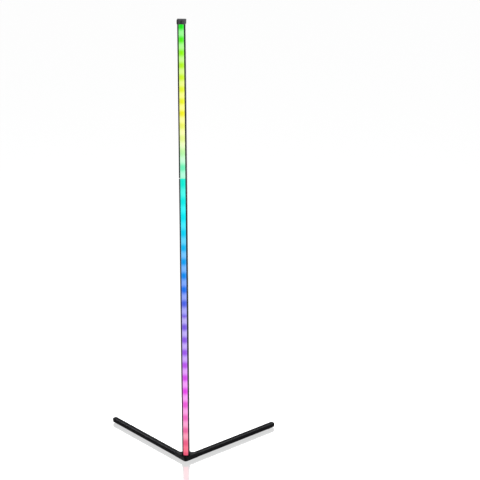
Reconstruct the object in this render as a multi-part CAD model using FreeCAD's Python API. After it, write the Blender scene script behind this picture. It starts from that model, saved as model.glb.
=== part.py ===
import FreeCAD, Part
import math
import os
from FreeCAD import Vector

# Corner floor lamp: a light pole that stands on the corner of two floor legs.
# Millimetres. The origin is on the floor under the pole's axis, +Z is up and +Y points
# into the V of the legs. The light side faces -Y, the corner of the room in use.

# Legs
leg_size = 15.0            # outer size of the square tube
leg_wall = 1.5             # also the wall of the hub shell, which carries the tube's outline on
leg_edge_radius = 2.0
leg_length = 380.0         # from the sharp corner of the V to the leg's end, along its outer side
leg_angle = 45.0           # of each leg from +Y, in degrees
end_cap_length = 8.0
end_cap_edge_radius = 1.0
end_cap_plug_length = 15.0

# Rubber pads
pad_height = 2.5
pad_edge_radius = 0.5      # of each pad's lower rim
leg_pad_radius = 4.5
leg_pad_inset = 20.0       # from the leg's end to the pad's centre
hub_pad_radius = 11.0

# Hub
nose_radius = 8.0
inner_corner_radius = 3.0
hub_mouth_land = 4.3       # straight stretch of the hub's arm past the chamfer of its inner corner
hole_land = 1.1            # least stretch between the hub pad and the base plate's front screw
spigot_length = 45.0       # of the bracket's arm inside each leg
collar_wall = 1.5
collar_height = 8.0
collar_corner_radius = 1.5
collar_rim_radius = 0.6
window_sill = 1.5          # of the collar's window, above the hub
window_corner_radius = 2.0

# Pole: an aluminium channel with a light chamber in front of its web and a rear chamber behind it
pole_width = 23.2
pole_wall = 1.5
pole_edge_radius = 1.0
lip_width = 4.0            # of each front lip, which leaves the slot for the diffuser
light_chamber_depth = 7.25
web_thickness = 1.2

# The pole's three lengths, and where the lamps sit on each: the first lamp is measured from the
# length's foot and the last one from its top
lower_length = 479.5
lower_first_lamp = 23.1
lower_last_lamp = 17.3
lower_lamp_count = 11
middle_length = 443.0
middle_first_lamp = 17.5
middle_last_lamp = 46.5
middle_lamp_count = 9
upper_length = 478.0
upper_first_lamp = 11.5
upper_last_lamp = 35.9
upper_lamp_count = 12

# Diffuser
dome_rise = 1.0
diffuser_wall = 1.2
diffuser_leg_depth = 2.35  # of the snap legs, from the channel's front face
hook_reach = 1.05
hook_thickness = 0.75
diffuser_gap = 0.15        # to each side of the slot, and at its foot

# Light boards
light_board_width = 10.0
light_board_thickness = 1.0
light_board_end_gap = 0.5
light_board_foot_gap = 2.0
lamp_size = 5.0
lamp_height = 1.6
lamp_window_radius = 2.0
lamp_window_depth = 0.3
link_width = 8.0
link_height = 12.0
link_depth = 2.5

# Joints of the channel
post_height = 50.0         # of the bracket's post above the hub
joiner_length = 80.0
lead_groove_width = 5.5
lead_groove_depth = 3.3
foot_screw_height = 30.0   # above the hub
joiner_screw_inset = 15.0  # from each end of a joiner

# White key in the left side of the upper seam
key_height = 2.6
key_depth = 4.0
key_barb_thickness = 0.7
key_barb_overlap = 1.7     # past the notch, above and below
key_barb_setback = 1.6     # behind the channel's front face

# Top cap
cap_height = 12.0
cap_top = 2.0
cap_wall = 1.6
cap_front_wall = 3.0       # covers the end of the domed diffuser
cap_bevel_width = 5.0
cap_bevel_depth = 3.0
cap_rim_radius = 0.8
cap_groove_width = 3.8
cap_groove_depth = 2.2
cap_plug_length = 30.0
cap_screw_drop = 5.0       # below the cap's rim

# Screws
screw_radius = 1.5
screw_head_radius = 2.6
screw_head_height = 1.4
screw_length = 7.0
screw_hole_gap = 0.1
socket_radius = 1.2
socket_depth = 0.8
leg_screw_inset = 12.0     # from the hub's mouth, and from the spigot's end
plate_screw_inset = 16.0   # from the hub's mouth back to the base plate's screw on each arm

# Controller and push button
board_pad_thickness = 0.6
board_thickness = 1.2
board_width = 16.0
board_length = 60.0
board_above_post = 6.5
board_pad_inset = 12.0
board_pad_width = 12.0
switch_size = 6.2
switch_height = 3.3
switch_above_board_foot = 33.0
plunger_radius = 1.75
plunger_height = 0.9       # that shows between the switch and the button
plunger_sunk = 0.5
plunger_hole_depth = 1.2
button_radius = 3.5
button_flange_radius = 4.7
button_flange_thickness = 0.95
button_proud = 0.8         # of the channel's rear face
button_edge_radius = 0.3
button_gap = 0.1           # behind the channel's rear wall, and round the button's stem
chip_size = 5.5
chip_height = 1.2
chip_above_board_foot = 48.0
header_width = 1.8
header_height = 8.0
header_offset = 3.9        # of the pins from the lamps' row
header_above_board_foot = 16.0
pin_radius = 0.35
pin_pitch = 2.5
pin_count = 3
pin_proud = 0.5
lead_socket_width = 6.0
lead_socket_height = 6.0
lead_socket_depth = 4.6
lead_socket_above_board_foot = 2.0

# Power inlet and its lead
jack_depth = 11.4
jack_gap = 0.45            # between the bracket and the inlet's back
jack_clearance = 0.5       # above and below the inlet
jack_nose_radius = 3.9
jack_bore_radius = 3.0
jack_back_wall = 2.0
jack_pin_radius = 1.0
jack_pin_setback = 1.0     # of the pin's tip from the mouth
lead_radius = 0.7
lead_spacing = 2.0

fit_gap = 0.1              # round each plug, post and foot in its socket

# Heights
leg_bottom = pad_height
leg_top = leg_bottom + leg_size
cavity_bottom = leg_bottom + leg_wall
cavity_top = leg_top - leg_wall
leg_middle = (leg_bottom + leg_top) / 2
lower_seam = leg_top + lower_length
upper_seam = lower_seam + middle_length
pole_top = upper_seam + upper_length
overall_height = pole_top + cap_top
cap_bottom = overall_height - cap_height
post_top = leg_top + post_height
collar_top = leg_top + collar_height
window_bottom = leg_top + window_sill
board_foot = post_top + board_above_post

# The pole's section, in plan
rear_chamber_depth = (board_pad_thickness + board_thickness + switch_height
                      + plunger_height + button_flange_thickness + button_gap)
pole_depth = 2 * pole_wall + light_chamber_depth + web_thickness + rear_chamber_depth
pole_front = -pole_depth / 2
pole_rear = pole_depth / 2
lip_back = pole_front + pole_wall
web_front = lip_back + light_chamber_depth
web_rear = web_front + web_thickness
rear_inside = pole_rear - pole_wall
half_width = pole_width / 2
half_chamber = half_width - pole_wall
half_slot = half_width - lip_width
half_post = half_chamber - fit_gap
post_rear = rear_inside - fit_gap
lead_y = post_rear - lead_groove_depth / 2
screw_offset = (lead_groove_width / 2 + half_post) / 2
board_rear = web_rear + board_pad_thickness + board_thickness

# The hub, in plan: the V is just wide enough for the collar at the pole's front corners
turn = math.radians(leg_angle)
leg_corner = (pole_depth / 2
              + (collar_wall + fit_gap + half_width * math.cos(turn)) / math.sin(turn))
jack_back = post_rear + jack_gap
hub_back = jack_back + jack_depth + leg_wall
chamfer_run = (hub_back + leg_corner - leg_size * math.sin(turn)) / math.cos(turn)
hub_reach = chamfer_run + hub_mouth_land
spigot_reach = hub_reach + spigot_length
plate_screw_reach = hub_reach - plate_screw_inset

SIDES = {"left": -1, "right": 1}
TINY = 1e-6


def box(x_low, x_high, y_low, y_high, z_low, z_high):
    corner = Vector(x_low, y_low, z_low)
    return Part.makeBox(x_high - x_low, y_high - y_low, z_high - z_low, corner)


def upright_edges(shape):
    """The straight vertical edges of a shape."""
    found = []
    for edge in shape.Edges:
        room = edge.BoundBox
        if room.ZLength > TINY and room.XLength < TINY and room.YLength < TINY:
            found.append(edge)
    return found


def rounded_box(half_x, y_low, y_high, z_low, z_high, radius):
    plain = box(-half_x, half_x, y_low, y_high, z_low, z_high)
    return plain.makeFillet(radius, upright_edges(plain))


def prism(points, z_low, z_high):
    ring = [Vector(p.x, p.y, z_low) for p in points]
    face = Part.Face(Part.makePolygon(ring + ring[:1]))
    return face.extrude(Vector(0, 0, z_high - z_low))


def leg_point(along, inward):
    """The place in plan of a point of the right leg: along it, and inward from its outer side."""
    x = along * math.sin(turn) - inward * math.cos(turn)
    y = along * math.cos(turn) + inward * math.sin(turn) - leg_corner
    return Vector(x, y, 0)


def v_outline(inset, reach, back):
    """The V of both legs out to a reach, inset from their sides, filled up to y = back."""
    inner = leg_size - inset
    run = (back + leg_corner - inner * math.sin(turn)) / math.cos(turn)
    nose = Vector(0, inset / math.sin(turn) - leg_corner, 0)
    right = [leg_point(reach, inset), leg_point(reach, inner), leg_point(run, inner)]
    left = [Vector(-p.x, p.y, 0) for p in reversed(right)]
    return [nose] + right + left


def v_body(inset, reach, back, z_low, z_high):
    """A solid V in the hub's outline or inset from it, with the hub's round nose."""
    body = prism(v_outline(inset, reach, back), z_low, z_high)
    nose = [edge for edge in upright_edges(body) if abs(edge.Vertexes[0].Point.x) < TINY]
    return body.makeFillet(nose_radius - inset, nose)


def on_leg(shape, side):
    """Place a shape that was made along +X from the V's corner, inward to +Y, on one leg."""
    shape.rotate(Vector(0, 0, 0), Vector(0, 0, 1), 90.0 - leg_angle)
    shape.translate(Vector(0, -leg_corner, 0))
    if side > 0:
        return shape
    return shape.mirror(Vector(0, 0, 0), Vector(1, 0, 0))


def screw(seat, direction):
    """A pan-head screw whose head sits on a point and whose shank goes in along a direction."""
    head = Part.makeCylinder(screw_head_radius, screw_head_height, Vector(0, 0, -screw_head_height))
    rim = [edge for edge in head.Edges if edge.BoundBox.ZMax < TINY - screw_head_height]
    head = head.makeFillet(screw_head_height / 3, rim)
    shank = Part.makeCylinder(screw_radius, screw_length)
    corners = []
    for k in range(6):
        angle = math.radians(60 * k)
        corners.append(Vector(socket_radius * math.cos(angle), socket_radius * math.sin(angle), 0))
    socket = prism(corners, -screw_head_height, socket_depth - screw_head_height)
    made = head.fuse(shank).cut(socket)
    made.Placement = FreeCAD.Placement(seat, FreeCAD.Rotation(Vector(0, 0, 1), direction))
    return made


def screw_hole(seat, direction):
    """The hole that a screw's shank needs, a little longer than the shank, open at the seat."""
    start = seat - direction
    return Part.makeCylinder(screw_radius + screw_hole_gap, screw_length + 2, start, direction)


def rear_screw_seats(height):
    """The two seats of a pair of screws on the pole's rear face."""
    return [Vector(side * screw_offset, pole_rear, height) for side in SIDES.values()]


def leg_screw_seats():
    seats = []
    for side in SIDES.values():
        for along in (hub_reach + leg_screw_inset, spigot_reach - leg_screw_inset):
            place = leg_point(along, leg_size / 2)
            seats.append(Vector(side * place.x, place.y, leg_bottom))
    return seats


def plate_screw_seats():
    """Three seats under the base plate: one near the nose and one on each arm."""
    front = hub_pad_radius + hole_land + screw_head_radius
    seats = [Vector(0, -front, leg_bottom)]
    for side in SIDES.values():
        place = leg_point(plate_screw_reach, leg_size / 2)
        seats.append(Vector(side * place.x, place.y, leg_bottom))
    return seats


def drilled(shape, seats, direction):
    """A shape with the holes for a set of screws."""
    for seat in seats:
        shape = shape.cut(screw_hole(seat, direction))
    return shape


UP = Vector(0, 0, 1)
INWARD = Vector(0, -1, 0)
foot_seats = rear_screw_seats(leg_top + foot_screw_height)
cap_seats = rear_screw_seats(cap_bottom - cap_screw_drop)


def joiner_seats(seam):
    reach = joiner_length / 2 - joiner_screw_inset
    return rear_screw_seats(seam - reach) + rear_screw_seats(seam + reach)


def lead_groove(z_low, z_high):
    half = lead_groove_width / 2
    return box(-half, half, post_rear - lead_groove_depth, pole_rear, z_low, z_high)


def spigot(z_low, z_high):
    """A plug that fills the pole's rear chamber, with a groove for the lead along its back."""
    body = box(-half_post, half_post, web_rear + fit_gap, post_rear, z_low, z_high)
    return body.cut(lead_groove(z_low, z_high))


def corner_bracket():
    """The casting that joins both legs and carries the pole on its post."""
    inset = leg_wall + fit_gap
    middle = v_body(inset, hub_reach, post_rear, cavity_bottom, cavity_top)
    arms = v_body(inset, spigot_reach, post_rear, cavity_bottom + fit_gap, cavity_top - fit_gap)
    made = middle.fuse(arms).fuse(spigot(cavity_bottom, post_top))
    made = made.cut(lead_groove(cavity_bottom, post_top)).removeSplitter()
    made = drilled(made, leg_screw_seats() + plate_screw_seats(), UP)
    return drilled(made, foot_seats, INWARD)


def window():
    """The opening in the collar's front, with round lower corners, in front of the diffuser."""
    made = box(-half_slot, half_slot, pole_front - 2 * collar_wall, pole_front + pole_wall,
               window_bottom, collar_top + collar_wall)
    corners = []
    for edge in made.Edges:
        room = edge.BoundBox
        if room.YLength > TINY and room.ZMax < window_bottom + TINY and room.XLength < TINY:
            corners.append(edge)
    return made.makeFillet(window_corner_radius, corners)


def collar():
    """The socket wall round the pole's foot, cut off by the V's outer sides."""
    reach = fit_gap + collar_wall
    wall = rounded_box(half_width + reach, pole_front - reach, pole_rear + reach,
                       cavity_top, collar_top, collar_corner_radius)
    rim = []
    for edge in wall.Edges:
        if edge.BoundBox.ZMin > collar_top - TINY:
            rim.append(edge)
    wall = wall.makeFillet(collar_rim_radius, rim)
    wall = wall.common(prism(v_outline(0, hub_reach, hub_back), cavity_top, collar_top))
    foot = box(-half_width - fit_gap, half_width + fit_gap, pole_front - fit_gap,
               pole_rear + fit_gap, leg_top, collar_top)
    return wall.cut(foot).cut(window())


def hub_shell():
    """The moulded cover of the hub: open below, open at both arms, with the pole's collar."""
    outer = v_body(0, hub_reach, hub_back, cavity_bottom, leg_top)
    inner_corners = [edge for edge in upright_edges(outer)
                     if abs(edge.Vertexes[0].Point.y - hub_back) < TINY]
    outer = outer.makeFillet(inner_corner_radius, inner_corners)
    top_edges = []
    for edge in outer.Edges:
        room = edge.BoundBox
        middle = edge.valueAt((edge.FirstParameter + edge.LastParameter) / 2)
        along = abs(middle.x) * math.sin(turn) + (middle.y + leg_corner) * math.cos(turn)
        if room.ZMin > leg_top - TINY and along < hub_reach - TINY:
            top_edges.append(edge)
    outer = outer.makeFillet(leg_edge_radius, top_edges)
    cavity = v_body(leg_wall, 2 * hub_reach, hub_back - leg_wall, cavity_bottom, cavity_top)
    post_hole = box(-half_chamber, half_chamber, web_rear, rear_inside, cavity_top, leg_top)
    inlet_hole = Part.makeCylinder(jack_nose_radius + fit_gap, 3 * leg_wall,
                                   Vector(0, hub_back - 2 * leg_wall, leg_middle), Vector(0, 1, 0))
    made = outer.fuse(collar()).cut(cavity).cut(post_hole).cut(inlet_hole)
    return made.removeSplitter()


def base_plate():
    plate = v_body(fit_gap, hub_reach, hub_back - fit_gap, leg_bottom, cavity_bottom)
    return drilled(plate, plate_screw_seats(), UP)


def long_edges(shape):
    """The edges of a bar that runs along X."""
    return [edge for edge in shape.Edges if edge.BoundBox.XLength > TINY]


def leg(side):
    tube = box(hub_reach, leg_length - end_cap_length, 0, leg_size, leg_bottom, leg_top)
    tube = tube.makeFillet(leg_edge_radius, long_edges(tube))
    bore = box(hub_reach, leg_length - end_cap_length, leg_wall, leg_size - leg_wall,
               cavity_bottom, cavity_top)
    return drilled(on_leg(tube.cut(bore), side), leg_screw_seats(), UP)


def end_cap(side):
    start = leg_length - end_cap_length
    head = box(start, leg_length, 0, leg_size, leg_bottom, leg_top)
    head = head.makeFillet(leg_edge_radius, long_edges(head))
    end = [edge for edge in head.Edges if edge.BoundBox.XMin > leg_length - TINY]
    head = head.makeFillet(end_cap_edge_radius, end)
    inset = leg_wall + fit_gap
    plug = box(start - end_cap_plug_length, start, inset, leg_size - inset,
               leg_bottom + inset, leg_top - inset)
    return on_leg(head.fuse(plug), side)


def pad(radius, place):
    """A round rubber pad whose lower rim is rounded."""
    disc = Part.makeCylinder(radius, pad_height, place)
    rim = [edge for edge in disc.Edges if edge.BoundBox.ZMax < TINY]
    return disc.makeFillet(pad_edge_radius, rim)


def leg_pad(side):
    return on_leg(pad(leg_pad_radius, Vector(leg_length - leg_pad_inset, leg_size / 2, 0)), side)


def channel(z_low, z_high):
    """A length of the pole's extrusion."""
    outer = rounded_box(half_width, pole_front, pole_rear, z_low, z_high, pole_edge_radius)
    rear_chamber = box(-half_chamber, half_chamber, web_rear, rear_inside, z_low, z_high)
    light_chamber = box(-half_chamber, half_chamber, lip_back, web_front, z_low, z_high)
    slot = box(-half_slot, half_slot, pole_front, lip_back, z_low, z_high)
    return outer.cut(rear_chamber).cut(light_chamber).cut(slot)


def key_notch():
    """The notch across the left lip and wall at the upper seam, which the key fills."""
    low = upper_seam - key_height / 2
    high = upper_seam + key_height / 2
    lip = box(-half_width, -half_slot, pole_front, lip_back, low, high)
    wall = box(-half_width, -half_chamber, pole_front, pole_front + key_depth, low, high)
    return lip.fuse(wall)


def header_slot():
    """The opening in the web, and the outline of the block that fills it."""
    middle = board_foot + header_above_board_foot
    return box(header_offset - header_width / 2, header_offset + header_width / 2,
               web_front, web_rear + board_pad_thickness,
               middle - header_height / 2, middle + header_height / 2)


def button_axis_point(y):
    return Vector(0, y, board_foot + switch_above_board_foot)


def lower_pole():
    made = channel(leg_top, lower_seam).cut(header_slot())
    hole = Part.makeCylinder(button_radius + button_gap, 3 * pole_wall,
                             button_axis_point(rear_inside - pole_wall), Vector(0, 1, 0))
    return drilled(made.cut(hole), foot_seats + joiner_seats(lower_seam), INWARD)


def middle_pole():
    made = channel(lower_seam, upper_seam).cut(key_notch())
    return drilled(made, joiner_seats(lower_seam) + joiner_seats(upper_seam), INWARD)


def upper_pole():
    made = channel(upper_seam, pole_top).cut(key_notch())
    return drilled(made, joiner_seats(upper_seam) + cap_seats, INWARD)


def joiner(seam):
    made = spigot(seam - joiner_length / 2, seam + joiner_length / 2)
    return drilled(made, joiner_seats(seam), INWARD)


def seam_key():
    """Fills the notch flush with the channel and grips the inside of its wall with a barb."""
    rounded = rounded_box(half_width, pole_front, pole_rear, upper_seam - key_height,
                          upper_seam + key_height, pole_edge_radius)
    barb = box(-half_chamber, -half_chamber + key_barb_thickness,
               pole_front + key_barb_setback, pole_front + key_depth,
               upper_seam - key_height / 2 - key_barb_overlap,
               upper_seam + key_height / 2 + key_barb_overlap)
    return key_notch().common(rounded).fuse(barb).removeSplitter()


def diffuser(z_low, z_high):
    """A length of the domed milky cover, with a snap leg and hook behind each lip."""
    half = half_slot - diffuser_gap
    inner = half - diffuser_wall
    back = pole_front + diffuser_leg_depth
    hook = half + hook_reach
    crown = pole_front - dome_rise

    def at(x, y):
        return Vector(x, y, z_low)

    outer_arc = Part.Arc(at(-half, pole_front), at(0, crown), at(half, pole_front)).toShape()
    inner_arc = Part.Arc(at(inner, pole_front + diffuser_wall), at(0, crown + diffuser_wall),
                         at(-inner, pole_front + diffuser_wall)).toShape()
    right = [at(half, pole_front), at(half, back - hook_thickness), at(hook, back - hook_thickness),
             at(hook, back), at(inner, back), at(inner, pole_front + diffuser_wall)]
    left = [at(-p.x, p.y) for p in reversed(right)]
    edges = [outer_arc]
    for start, end in zip(right, right[1:]):
        edges.append(Part.makeLine(start, end))
    edges.append(inner_arc)
    for start, end in zip(left, left[1:]):
        edges.append(Part.makeLine(start, end))
    face = Part.Face(Part.Wire(edges))
    return face.extrude(Vector(0, 0, z_high - z_low))


def lower_diffuser():
    """The lowest cover, whose foot has the round corners of the collar's window."""
    made = diffuser(window_bottom + diffuser_gap, lower_seam)
    corner_zone = box(-half_slot, half_slot, pole_front - collar_wall, pole_front,
                      window_bottom, window_bottom + window_corner_radius)
    return made.cut(corner_zone.cut(window()))


def lamps(first, last, count):
    """An even row of lamps from one height to another, each with its round window."""
    face = web_front - light_board_thickness
    half = lamp_size / 2
    made = []
    for k in range(count):
        height = first + (last - first) * k / (count - 1)
        body = box(-half, half, face - lamp_height, face, height - half, height + half)
        pocket = Part.makeCylinder(lamp_window_radius, lamp_window_depth,
                                   Vector(0, face - lamp_height, height), Vector(0, 1, 0))
        made.append(body.cut(pocket))
    return Part.makeCompound(made)


def light_board(z_low, z_high):
    half = light_board_width / 2
    return box(-half, half, web_front - light_board_thickness, web_front, z_low, z_high)


def board_link(seam):
    """A connector that bridges two light boards at a seam."""
    face = web_front - light_board_thickness
    return box(-link_width / 2, link_width / 2, face - link_depth, face,
               seam - link_height / 2, seam + link_height / 2)


def pin_centres(y):
    middle = board_foot + header_above_board_foot
    first = middle - pin_pitch * (pin_count - 1) / 2
    return [Vector(header_offset, y, first + k * pin_pitch) for k in range(pin_count)]


def pin_rods(radius):
    """The rods that run through both boards and the block between them."""
    start = web_front - light_board_thickness - pin_proud
    length = board_rear + pin_proud - start
    return [Part.makeCylinder(radius, length, centre, Vector(0, 1, 0))
            for centre in pin_centres(start)]


def pierced(shape):
    for rod in pin_rods(pin_radius):
        shape = shape.cut(rod)
    return shape


def control_board():
    return box(-board_width / 2, board_width / 2, board_rear - board_thickness, board_rear,
               board_foot, board_foot + board_length)


def board_pad():
    """Foam tape between the web and the controller, clear of the pins' block."""
    low = board_foot + header_above_board_foot + header_height / 2 + board_pad_inset / 2
    high = board_foot + board_length
    return box(-board_pad_width / 2, board_pad_width / 2, web_rear, web_rear + board_pad_thickness,
               low, high)


def on_board(width, height_above_foot, height, depth):
    """A block on the controller's back."""
    middle = board_foot + height_above_foot
    return box(-width / 2, width / 2, board_rear, board_rear + depth,
               middle - height / 2, middle + height / 2)


def tact_switch():
    body = on_board(switch_size, switch_above_board_foot, switch_size, switch_height)
    well = board_rear + switch_height - plunger_hole_depth
    hole = Part.makeCylinder(plunger_radius + button_gap, plunger_hole_depth,
                             button_axis_point(well), Vector(0, 1, 0))
    return body.cut(hole)


def switch_plunger():
    start = board_rear + switch_height - plunger_sunk
    return Part.makeCylinder(plunger_radius, plunger_sunk + plunger_height,
                             button_axis_point(start), Vector(0, 1, 0))


def mode_button():
    """The push button: a flange behind the channel's rear wall and a stem through it."""
    start = rear_inside - button_gap - button_flange_thickness
    flange = Part.makeCylinder(button_flange_radius, button_flange_thickness,
                               button_axis_point(start), Vector(0, 1, 0))
    reach = pole_rear + button_proud - start
    stem = Part.makeCylinder(button_radius, reach, button_axis_point(start), Vector(0, 1, 0))
    rim = [edge for edge in stem.Edges if edge.BoundBox.YMin > pole_rear]
    return flange.fuse(stem.makeFillet(button_edge_radius, rim))


def dc_jack():
    """The power inlet: a block in the hub and a round nose through its rear face."""
    half = (cavity_top - cavity_bottom) / 2 - jack_clearance
    block = box(-half, half, jack_back, hub_back - leg_wall, leg_middle - half, leg_middle + half)
    nose = Part.makeCylinder(jack_nose_radius, jack_depth + leg_wall,
                             Vector(0, jack_back, leg_middle), Vector(0, 1, 0))
    nose = nose.common(box(-half, half, jack_back, hub_back, leg_middle - half, leg_middle + half))
    bore_start = jack_back + jack_back_wall
    bore = Part.makeCylinder(jack_bore_radius, hub_back - bore_start,
                             Vector(0, bore_start, leg_middle), Vector(0, 1, 0))
    return block.fuse(nose).cut(bore).removeSplitter()


def dc_jack_pin():
    start = jack_back + jack_back_wall
    pin = Part.makeCylinder(jack_pin_radius, hub_back - jack_pin_setback - start,
                            Vector(0, start, leg_middle), Vector(0, 1, 0))
    tip = [edge for edge in pin.Edges if edge.BoundBox.YMin > hub_back - 2 * jack_pin_setback]
    return pin.makeFillet(jack_pin_radius / 2, tip)


def power_lead():
    """Two cores that bend up from the inlet's back and run in the post's groove to the board."""
    bend = jack_back - lead_y
    top = board_foot + lead_socket_above_board_foot
    cores = []
    for side in SIDES.values():
        x = side * lead_spacing / 2
        start = Vector(x, jack_back, leg_middle)
        middle = Vector(x, jack_back - bend * math.sin(math.radians(45)),
                        leg_middle + bend * (1 - math.cos(math.radians(45))))
        end = Vector(x, lead_y, leg_middle + bend)
        arc = Part.Arc(start, middle, end).toShape()
        run = Part.makeLine(end, Vector(x, lead_y, top))
        ring = Part.Wire([Part.makeCircle(lead_radius, start, Vector(0, 1, 0))])
        cores.append(Part.Wire([arc, run]).makePipeShell([ring], True, True))
    return Part.makeCompound(cores)


def screws(seats, direction):
    return Part.makeCompound([screw(seat, direction) for seat in seats])


def top_cap():
    """Closes the pole: a skirt with bevelled front corners and a groove, and a plug inside."""
    reach = half_width + fit_gap + cap_wall
    front = pole_front - fit_gap - cap_front_wall
    rear = pole_rear + fit_gap + cap_wall
    side_front = front + cap_bevel_depth
    outline = [Vector(-reach, rear, 0), Vector(-reach, side_front, 0),
               Vector(-reach + cap_bevel_width, front, 0), Vector(reach - cap_bevel_width, front, 0),
               Vector(reach, side_front, 0), Vector(reach, rear, 0)]
    body = prism(outline, cap_bottom, overall_height)
    sides = [edge for edge in upright_edges(body) if abs(edge.Vertexes[0].Point.x) > reach - TINY]
    body = body.makeFillet(cap_rim_radius, sides)
    rim = [edge for edge in body.Edges if edge.BoundBox.ZMin > overall_height - TINY]
    body = body.makeFillet(cap_rim_radius, rim)
    socket = box(-half_width - fit_gap, half_width + fit_gap, pole_front - fit_gap,
                 pole_rear + fit_gap, cap_bottom, pole_top)
    groove = box(-cap_groove_width / 2, cap_groove_width / 2, front, front + cap_groove_depth,
                 cap_bottom, overall_height)
    made = body.cut(socket).cut(groove).fuse(spigot(pole_top - cap_plug_length, pole_top))
    return drilled(made.removeSplitter(), cap_seats, INWARD)


def all_pieces():
    """Every piece of the lamp under its name."""
    pieces = {
        "hub_shell": hub_shell(),
        "corner_bracket": corner_bracket(),
        "base_plate": base_plate(),
        "base_plate_screws": screws(plate_screw_seats(), UP),
        "hub_foot_pad": pad(hub_pad_radius, Vector(0, 0, 0)),
        "leg_screws": screws(leg_screw_seats(), UP),
        "lower_pole": lower_pole(),
        "middle_pole": middle_pole(),
        "upper_pole": upper_pole(),
        "pole_foot_screws": screws(foot_seats, INWARD),
        "lower_joiner": joiner(lower_seam),
        "upper_joiner": joiner(upper_seam),
        "joiner_screws": screws(joiner_seats(lower_seam) + joiner_seats(upper_seam), INWARD),
        "seam_key": seam_key(),
        "top_cap": top_cap(),
        "cap_screws": screws(cap_seats, INWARD),
        "lower_diffuser": lower_diffuser(),
        "middle_diffuser": diffuser(lower_seam, upper_seam),
        "upper_diffuser": diffuser(upper_seam, cap_bottom - diffuser_gap),
        "lower_light_board": pierced(light_board(leg_top + light_board_foot_gap,
                                                 lower_seam - light_board_end_gap)),
        "middle_light_board": light_board(lower_seam + light_board_end_gap,
                                          upper_seam - light_board_end_gap),
        "upper_light_board": light_board(upper_seam + light_board_end_gap,
                                         cap_bottom - light_board_end_gap),
        "lower_lamps": lamps(leg_top + lower_first_lamp, lower_seam - lower_last_lamp,
                             lower_lamp_count),
        "middle_lamps": lamps(lower_seam + middle_first_lamp, upper_seam - middle_last_lamp,
                              middle_lamp_count),
        "upper_lamps": lamps(upper_seam + upper_first_lamp, pole_top - upper_last_lamp,
                             upper_lamp_count),
        "lower_board_link": board_link(lower_seam),
        "upper_board_link": board_link(upper_seam),
        "control_board": pierced(control_board()),
        "board_pad": board_pad(),
        "control_chip": on_board(chip_size, chip_above_board_foot, chip_size, chip_height),
        "feed_header": pierced(header_slot()),
        "feed_pins": Part.makeCompound(pin_rods(pin_radius)),
        "lead_socket": on_board(lead_socket_width,
                                lead_socket_above_board_foot + lead_socket_height / 2,
                                lead_socket_height, lead_socket_depth),
        "tact_switch": tact_switch(),
        "switch_plunger": switch_plunger(),
        "mode_button": mode_button(),
        "dc_jack": dc_jack(),
        "dc_jack_pin": dc_jack_pin(),
        "power_lead": power_lead(),
    }
    for name, side in SIDES.items():
        pieces[name + "_leg"] = leg(side)
        pieces[name + "_end_cap"] = end_cap(side)
        pieces[name + "_foot_pad"] = leg_pad(side)
    return pieces


os.makedirs("parts", exist_ok=True)
for name, shape in all_pieces().items():
    print(name, len(shape.Solids), "valid" if shape.isValid() else "NOT VALID", round(shape.Volume, 1))
    shape.exportStep("parts/" + name + ".step")
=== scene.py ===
import math

import bpy
from mathutils import Matrix, Vector


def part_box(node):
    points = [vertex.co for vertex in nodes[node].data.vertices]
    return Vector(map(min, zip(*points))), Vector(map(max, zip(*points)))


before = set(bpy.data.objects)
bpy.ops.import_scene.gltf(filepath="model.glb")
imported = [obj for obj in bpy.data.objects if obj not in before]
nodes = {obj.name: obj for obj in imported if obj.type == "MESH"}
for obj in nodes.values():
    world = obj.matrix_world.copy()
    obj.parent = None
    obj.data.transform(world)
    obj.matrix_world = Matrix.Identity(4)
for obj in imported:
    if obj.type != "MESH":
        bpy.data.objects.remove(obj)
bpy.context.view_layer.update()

# Corner floor lamp: a lit pole of black anodised aluminium on the corner of two black steel
# floor legs. Places are in metres, and patterns and the cover's glow in millimetres.

MM = 0.001


def linear(colour, alpha=1.0):
    """An sRGB hex colour as linear red, green, blue and alpha."""
    shares = [int(colour[k:k + 2], 16) / 255 for k in (1, 3, 5)]
    return [s / 12.92 if s <= 0.04045 else ((s + 0.055) / 1.055) ** 2.4 for s in shares] + [alpha]


def add(tree, kind, inputs=None, **settings):
    """Add a node with its settings, and with its inputs as values or as sockets to link from.
    Inputs go by name or number. A map range takes the value as 0, the range it comes from as 1
    and 2, and the range it goes to as 3 and 4. A mix of colours takes the share of the second
    colour as 0 and the two colours as 6 and 7, and gives the result as output 2."""
    node = tree.nodes.new(kind)
    for name, value in settings.items():
        setattr(node, name, value)
    for name, value in (inputs or {}).items():
        if isinstance(value, bpy.types.NodeSocket):
            tree.links.new(value, node.inputs[name])
        else:
            node.inputs[name].default_value = value
    return node


def begin(name):
    """A new material with an empty node tree."""
    material = bpy.data.materials.new(name)
    material.use_nodes = True
    material.node_tree.nodes.clear()
    return material, material.node_tree


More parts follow.
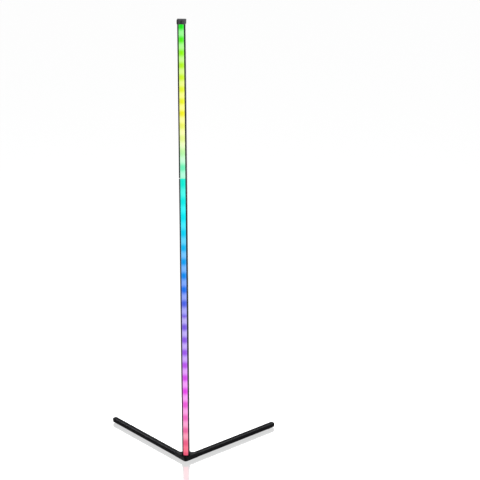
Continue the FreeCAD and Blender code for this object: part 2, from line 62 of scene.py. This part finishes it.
def surface(name, colour, roughness, grain, depth, metallic=0.0, ior=1.5, specular=0.5,
            graze="#ffffff", mottle=0.12, edge=0.2):
    """A finish with one grain: its size in mm across X, across Y and up Z, and its depth in mm.
    graze tints the shine of a metallic finish where it is seen at a flat angle. mottle is how
    far colour and roughness drift over a few centimetres, and edge the radius in mm by which
    each sharp edge is broken."""
    drift_size = 45
    # Grain and drift add up to about 1, and seldom to less or more than this.
    sum_low, sum_high = 0.6, 1.4

    material, tree = begin(name)
    place = add(tree, "ShaderNodeTexCoord").outputs["Object"]
    scaled = add(tree, "ShaderNodeMapping", {
        "Vector": place, "Scale": [1 / (size * MM) for size in grain]}).outputs[0]
    fine = add(tree, "ShaderNodeTexNoise", {
        "Vector": scaled, "Scale": 1.0, "Detail": 3.0, "Roughness": 0.55}).outputs[0]
    drift = add(tree, "ShaderNodeTexNoise", {
        "Vector": place, "Scale": 1 / (drift_size * MM), "Detail": 2.0}).outputs[0]
    plain = linear(colour)
    dark = [c * (1 - mottle) for c in plain[:3]] + [1.0]
    light = [c * (1 + mottle) for c in plain[:3]] + [1.0]
    shade = add(tree, "ShaderNodeMix", {0: drift, 6: dark, 7: light}, data_type="RGBA").outputs[2]
    both = add(tree, "ShaderNodeMath", {0: fine, 1: drift}, operation="ADD").outputs[0]
    rough = add(tree, "ShaderNodeMapRange", {
        0: both, 1: sum_low, 2: sum_high,
        3: roughness * (1 - mottle), 4: roughness * (1 + mottle)}).outputs[0]
    broken = add(tree, "ShaderNodeBevel", {"Radius": edge * MM}, samples=4).outputs[0]
    bumped = add(tree, "ShaderNodeBump", {
        "Height": fine, "Distance": depth * MM, "Strength": 1.0, "Normal": broken}).outputs[0]
    shader = add(tree, "ShaderNodeBsdfPrincipled", {
        "Base Color": shade, "Roughness": rough, "Metallic": metallic, "IOR": ior,
        "Specular IOR Level": specular, "Specular Tint": linear(graze), "Normal": bumped})
    add(tree, "ShaderNodeOutputMaterial", {"Surface": shader.outputs[0]})
    return material


def colour_run(tree, share, stops):
    """Colours that melt into each other along share, from stops of a place, a colour and how
    far it pales in front of a lamp. Gives the colour and the paling."""
    ramp = add(tree, "ShaderNodeValToRGB", {0: share})
    elements = ramp.color_ramp.elements
    while len(elements) > 1:
        elements.remove(elements[-1])
    for number, (place, colour, paling) in enumerate(stops):
        element = elements[0] if number == 0 else elements.new(place)
        element.position = place
        element.color = linear(colour, paling)
    return ramp.outputs[0], ramp.outputs[1]


def lamp_beat(tree, share, ladder):
    """A wave along share, 1 in front of each lamp and -1 midway between two. ladder gives places
    along share, from end to end, each with the number of the lamp there, counted upwards."""
    # The curve's values end at 1, so the lamps' numbers are divided by more than a cover holds.
    span = 16.0
    curve = add(tree, "ShaderNodeFloatCurve", {"Value": share})
    points = curve.mapping.curves[0].points
    # One is added first, as the number at the cover's foot can lie just under 0.
    steps = [(place, (number + 1) / span) for place, number in ladder]
    points[0].location, points[1].location = steps[0], steps[-1]
    for step in steps[1:-1]:
        points.new(*step)
    for point in points:
        point.handle_type = "VECTOR"
    curve.mapping.update()
    turns = add(tree, "ShaderNodeMath", {
        0: curve.outputs[0], 1: 2 * math.pi * span}, operation="MULTIPLY").outputs[0]
    return add(tree, "ShaderNodeMath", {0: turns}, operation="COSINE").outputs[0]


def lit_cover(name, cover, glow, spots):
    """Opal polycarbonate with the lamps on behind it. glow goes down the cover: a height in mm,
    the colour between the lamps there, and how far it pales in front of a lamp. spots are the
    heights of some of the pale spots, in mm, each with its number, counted upwards."""
    # A pale spot starts and is full at these heights of the wave from trough, -1, to crest, 1.
    spot_start, spot_full = -0.8, 0.9
    # How far the cover pales along both edges: a painted highlight of the room's light on its
    # flanks.
    painted_edge_highlight = 0.5
    frost_size, frost_depth = 0.5, 0.004
    frost_smooth, frost_rough = 0.38, 0.5
    body_darkening = 0.55
    light_between, light_at_lamp = 0.8, 1.0
    lamp_strength = 0.7

    material, tree = begin(name)
    low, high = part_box(cover)
    low_mm, high_mm = low.z / MM, high.z / MM
    place = add(tree, "ShaderNodeTexCoord").outputs["Object"]
    axes = add(tree, "ShaderNodeSeparateXYZ", {0: place})
    share = add(tree, "ShaderNodeMapRange", {
        0: axes.outputs["Z"], 1: low.z, 2: high.z}).outputs[0]

    def up_cover(height):
        """A height in mm as a share of the cover's own height."""
        return (height - low_mm) / (high_mm - low_mm)

    colour, paling = colour_run(tree, share, [
        (min(max(up_cover(height), 0.0), 1.0), colour, paling)
        for height, colour, paling in sorted(glow)])

    # The lamps' spacing at either end of the cover goes on to the end itself.
    ladder = sorted(spots)
    for end, (near, far) in ((low_mm, ladder[:2]), (high_mm, ladder[:-3:-1])):
        lamps_per_mm = (far[1] - near[1]) / (far[0] - near[0])
        ladder.append((end, near[1] + (end - near[0]) * lamps_per_mm))
    beat = lamp_beat(tree, share, [
        (up_cover(height), number) for height, number in sorted(ladder)])
    spot_share = add(tree, "ShaderNodeMapRange", {
        0: beat, 1: spot_start, 2: spot_full}).outputs[0]

    # Along both edges of the cover the colour pales, round each saturated patch: a painted
    # highlight, the room's light on the dome's flanks put into the colour.
    across = add(tree, "ShaderNodeMath", {
        0: axes.outputs["X"], 1: high.x}, operation="DIVIDE").outputs[0]
    side = add(tree, "ShaderNodeMath", {0: across, 1: across}, operation="MULTIPLY").outputs[0]
    reach = add(tree, "ShaderNodeMath", {
        0: side, 1: painted_edge_highlight, 2: spot_share}, operation="MULTIPLY_ADD", use_clamp=True).outputs[0]
    pale = add(tree, "ShaderNodeMath", {0: reach, 1: paling}, operation="MULTIPLY").outputs[0]
    shown = add(tree, "ShaderNodeMix", {
        0: pale, 6: colour, 7: linear("#ffffff")}, data_type="RGBA").outputs[2]

    # The surface is finely frosted, 0.5 mm across here so that it can be seen at all.
    frost = add(tree, "ShaderNodeTexNoise", {
        "Vector": place, "Scale": 1 / (frost_size * MM), "Detail": 2.0}).outputs[0]
    rough = add(tree, "ShaderNodeMapRange", {
        0: frost, 3: frost_smooth, 4: frost_rough}).outputs[0]
    bumped = add(tree, "ShaderNodeBump", {
        "Height": frost, "Distance": frost_depth * MM}).outputs[0]
    # Part of the colour is the lamps' own light, which is strongest in front of each lamp, and
    # part is the room's light on the opal.
    body = add(tree, "ShaderNodeMix", {
        0: body_darkening, 6: shown, 7: linear("#000000")}, data_type="RGBA").outputs[2]
    level = add(tree, "ShaderNodeMapRange", {
        0: spot_share, 3: light_between, 4: light_at_lamp}).outputs[0]
    lamplight = add(tree, "ShaderNodeVectorMath", {
        0: shown, "Scale": level}, operation="SCALE").outputs[0]
    shader = add(tree, "ShaderNodeBsdfPrincipled", {
        "Base Color": body, "Emission Color": lamplight, "Emission Strength": lamp_strength,
        "Roughness": rough, "IOR": 1.58, "Specular IOR Level": 0.06, "Normal": bumped})
    add(tree, "ShaderNodeOutputMaterial", {"Surface": shader.outputs[0]})
    return material


def dress(material, *names):
    """Give the named pieces this material."""
    for name in names:
        for slot in nodes[name].material_slots:
            slot.material = material


# Polycarbonate, extruded and frosted, milky: the lamps melt into a soft run of colours with a
# pale spot over each lamp. Each length of the lamp has its own run.
dress(lit_cover("opal polycarbonate, green to mint", "upper_diffuser", glow=(
    (1402, "#10ee14", 0.28),   # leaf green
    (1364, "#50f610", 0.28),   # lime
    (1325, "#92fc10", 0.26),   # yellow green
    (1214, "#ecfc38", 0.22),   # lemon
    (1142, "#faf624", 0.26),   # yellow
    (1060, "#ecff98", 0.24),   # straw
    (976, "#70fac0", 0.32),    # mint
), spots=((951, 0), (1045, 2), (1160, 5), (1304, 9), (1382, 11))), "upper_diffuser")
dress(lit_cover("opal polycarbonate, aqua to indigo", "middle_diffuser", glow=(
    (925, "#0cf4da", 0.08),    # aqua
    (820, "#06f0fa", 0.02),    # cyan
    (697, "#02b0f8", 0.16),    # azure
    (590, "#0478f6", 0.20),    # blue
    (537, "#4c64ec", 0.26),    # indigo
    (505, "#7a70f0", 0.26),    # violet blue
), spots=((514, 0), (652, 3), (742, 5), (893, 8), (940, 8.7))), "middle_diffuser")
dress(lit_cover("opal polycarbonate, violet to coral", "lower_diffuser", glow=(
    (458, "#7e5cea", 0.34),    # violet
    (360, "#a458f4", 0.30),    # purple
    (288, "#e24cf4", 0.28),    # magenta
    (242, "#f244f4", 0.28),    # fuchsia
    (150, "#fa6ac8", 0.26),    # pink
    (95, "#f86ca0", 0.26),     # rose
    (41, "#f65c7c", 0.07),     # coral
), spots=((41, 0), (172, 3), (266, 5), (353, 7), (480, 10))), "lower_diffuser")

# Aluminium, extruded and dyed black by anodising: a dull metal sheen drawn out along the pole
# by the die's fine lines, 0.3 mm apart on the real thing and 0.6 mm here, so that they show.
dress(surface("black anodised aluminium", "#2a2a2c", roughness=0.36, grain=(0.6, 0.6, 90),
              depth=0.006, metallic=1.0, mottle=0.1, edge=0.15),
      "lower_pole", "middle_pole", "upper_pole")

# Steel tube, powder coated in black with fine metal flake: half dull, it stays dark at a flat
# angle and draws each light out along the tube's rounded edges. The baked coat's slight orange
# peel has dimples 1 mm across on the real thing and 2 mm here, so that they show.
dress(surface("metallic black powder coat", "#171718", roughness=0.22, grain=(2, 2, 2),
              depth=0.02, metallic=1.0, graze="#bcbcbc", mottle=0.15, edge=0.3),
      "left_leg", "right_leg")

# ABS, moulded in a spark-eroded tool: black with an even satin sheen and a fine dry grain.
dress(surface("spark-grained black ABS", "#0b0b0c", roughness=0.4, grain=(0.5, 0.5, 0.5),
              depth=0.015, ior=1.53, specular=0.03),
      "hub_shell", "left_end_cap", "right_end_cap")

# ABS from a finely blasted tool: the cap's dark grey is painted sheen, light off its black planes
# put into the colour as it is given no shine of its own; the button is darker and smoother.
dress(surface("blasted black ABS with painted sheen", "#4c4c4e", roughness=0.8, grain=(0.8, 0.8, 0.8),
              depth=0.01, ior=1.53, specular=0.0, edge=0.35), "top_cap")
dress(surface("button black ABS", "#1a1a1c", roughness=0.3, grain=(0.8, 0.8, 0.8),
              depth=0.006, ior=1.53), "mode_button")

# Steel sheet under a black electrocoat is dull and even, and screws in black zinc keep a dark
# metal gleam.
dress(surface("electrocoated steel sheet", "#161617", roughness=0.5, grain=(1.2, 1.2, 1.2),
              depth=0.01, specular=0.4), "base_plate")
dress(surface("black zinc screws", "#2c2c2e", roughness=0.34, grain=(0.4, 0.4, 0.4),
              depth=0.006, metallic=1.0, edge=0.12),
      "base_plate_screws", "leg_screws", "pole_foot_screws", "joiner_screws", "cap_screws")

# Natural rubber, moulded: nearly no shine, and dust greys it unevenly.
dress(surface("black rubber", "#1b1b1a", roughness=0.82, grain=(0.7, 0.7, 0.7), depth=0.03,
              ior=1.52, specular=0.3, mottle=0.25),
      "hub_foot_pad", "left_foot_pad", "right_foot_pad")

# Nylon, moulded: milky white with a waxy sheen.
dress(surface("white nylon", "#e9e9e4", roughness=0.38, grain=(0.9, 0.9, 0.9), depth=0.008,
              ior=1.53, mottle=0.03), "seam_key", "lower_joiner", "upper_joiner")

# Aluminium, die cast and left raw: pale grey with the mould's soft flow marks.
dress(surface("raw die-cast aluminium", "#a9abad", roughness=0.48, grain=(3, 3, 5), depth=0.03,
              metallic=1.0, mottle=0.12, edge=0.4), "corner_bracket")

# What lies inside the pole: boards, lamps, plugs and the lead.
dress(surface("white solder resist", "#e6e7e2", roughness=0.35, grain=(0.8, 0.8, 2.5),
              depth=0.01, ior=1.55, mottle=0.03),
      "lower_light_board", "middle_light_board", "upper_light_board")
dress(surface("white lamp package", "#f0efe2", roughness=0.3, grain=(0.5, 0.5, 0.5),
              depth=0.01, ior=1.55, mottle=0.04), "lower_lamps", "middle_lamps", "upper_lamps")
dress(surface("green solder resist", "#1d5a33", roughness=0.3, grain=(0.9, 0.9, 1.8),
              depth=0.012, ior=1.55, mottle=0.12), "control_board")
dress(surface("cream nylon plugs", "#d9d2ba", roughness=0.42, grain=(0.7, 0.7, 0.7),
              depth=0.01, ior=1.53, mottle=0.04),
      "lower_board_link", "upper_board_link", "lead_socket")
dress(surface("black epoxy and glass nylon", "#191919", roughness=0.55, grain=(0.3, 0.3, 0.3),
              depth=0.015, ior=1.55),
      "control_chip", "feed_header", "tact_switch", "switch_plunger", "dc_jack")
dress(surface("tinned brass", "#c9b98c", roughness=0.22, grain=(0.5, 0.5, 2), depth=0.003,
              metallic=1.0, edge=0.1), "feed_pins", "dc_jack_pin")
dress(surface("white foam tape", "#d8d8d2", roughness=0.9, grain=(0.35, 0.35, 0.35),
              depth=0.06, specular=0.2, mottle=0.06), "board_pad")
dress(surface("black vinyl lead", "#18181a", roughness=0.45, grain=(0.6, 0.6, 3), depth=0.01,
              ior=1.52), "power_lead")


def seen_share(tree):
    """1 for what meets the eye, straight or by a mirror or glass, and 0 for what lights things."""
    ray = add(tree, "ShaderNodeLightPath").outputs
    seen = add(tree, "ShaderNodeMath", {
        0: ray["Is Camera Ray"], 1: ray["Is Glossy Ray"]}, operation="ADD").outputs[0]
    return add(tree, "ShaderNodeMath", {
        0: seen, 1: ray["Is Transmission Ray"]}, operation="ADD").outputs[0]


def studio_floor():
    """White lacquered floor: it gives a faint mirror image and shows as white as the room."""
    half = 25.0
    # The glow shows to the eye and in mirrors and lights nothing else, the paint takes the
    # lamp's shadow, and the lacquer gives the mirror image.
    glow_level, paint, lacquer, lacquer_blur = 0.63, 0.04, 0.34, 0.15

    mesh = bpy.data.meshes.new("studio_floor")
    mesh.from_pydata([(-half, -half, 0), (half, -half, 0), (half, half, 0), (-half, half, 0)],
                     [], [(0, 1, 2, 3)])
    floor = bpy.data.objects.new("studio_floor", mesh)
    bpy.context.scene.collection.objects.link(floor)
    material, tree = begin("white lacquered floor")
    lift = add(tree, "ShaderNodeMath", {
        0: seen_share(tree), 1: glow_level}, operation="MULTIPLY").outputs[0]
    matt = add(tree, "ShaderNodeBsdfDiffuse", {"Color": (paint, paint, paint, 1)})
    glow = add(tree, "ShaderNodeEmission", {"Strength": lift})
    gloss = add(tree, "ShaderNodeBsdfAnisotropic", {
        "Color": (lacquer, lacquer, lacquer, 1), "Roughness": lacquer_blur})
    under = add(tree, "ShaderNodeAddShader", {0: matt.outputs[0], 1: glow.outputs[0]})
    whole = add(tree, "ShaderNodeAddShader", {0: under.outputs[0], 1: gloss.outputs[0]})
    add(tree, "ShaderNodeOutputMaterial", {"Surface": whole.outputs[0]})
    mesh.materials.append(material)


def white_room():
    """White all round to the eye and in reflections, and softer as a light."""
    as_light, as_seen = 0.35, 1.0
    world = bpy.data.worlds.new("white room")
    world.use_nodes = True
    tree = world.node_tree
    tree.nodes.clear()
    level = add(tree, "ShaderNodeMapRange", {
        0: seen_share(tree), 3: as_light, 4: as_seen}).outputs[0]
    sky = add(tree, "ShaderNodeBackground", {"Color": (1, 1, 1, 1), "Strength": level})
    add(tree, "ShaderNodeOutputWorld", {"Surface": sky.outputs[0]})
    bpy.context.scene.world = world


def softbox(name, place, target, width, height, power, tilt=0):
    """A panel light that faces target, tilted about the line to it by tilt degrees."""
    data = bpy.data.lights.new(name, "AREA")
    data.shape = "RECTANGLE"
    data.size, data.size_y, data.energy = width, height, power
    box = bpy.data.objects.new(name, data)
    box.location = place
    facing = (Vector(target) - Vector(place)).to_track_quat("-Z", "Y").to_matrix()
    box.rotation_euler = (facing @ Matrix.Rotation(math.radians(tilt), 3, "Z")).to_euler()
    bpy.context.scene.collection.objects.link(box)


def camera():
    """The photograph's eye: 4.8 m in front, 2.5 m up, a little to the right, long lens."""
    place = (0.4934, -4.7947, 2.5027)
    yaw, pitch, roll = 0.06725, 0.35046, 0.00115   # radians: left, down and about the view
    ahead = Vector((-math.sin(yaw) * math.cos(pitch), math.cos(yaw) * math.cos(pitch),
                    -math.sin(pitch)))
    level = Vector((math.cos(yaw), math.sin(yaw), 0))
    upright = level.cross(ahead)
    right = math.cos(roll) * level + math.sin(roll) * upright
    up = math.cos(roll) * upright - math.sin(roll) * level
    data = bpy.data.cameras.new("eye")
    data.sensor_width = 36.0
    data.lens = 127.12
    data.clip_end = 100.0
    eye = bpy.data.objects.new("eye", data)
    eye.matrix_world = Matrix.Translation(place) @ Matrix(
        (right, up, -ahead)).transposed().to_4x4()
    bpy.context.scene.collection.objects.link(eye)
    bpy.context.scene.camera = eye


studio_floor()
white_room()
softbox("key softbox", place=(2.6, -2.0, 2.1), target=(0, 0, 0.7), width=1.2, height=2.0, power=105)
# The left and right panels are tilted so that each shows as a line along its leg's front edge.
softbox("left softbox", place=(-1.92, 1.16, 1.92), target=(-0.15, 0.13, 0), width=1.8, height=0.5,
        power=75, tilt=-33)
softbox("back softbox", place=(0, 2.2, 1.22), target=(0, 0.1, 0), width=2.4, height=0.6, power=15)
softbox("right softbox",place=(1.58, 1.02, 2.25), target=(0.15, 0.13, 0), width=1.8, height=0.5,
        power=75, tilt=30)
camera()
bpy.context.scene.view_settings.view_transform = "Standard"
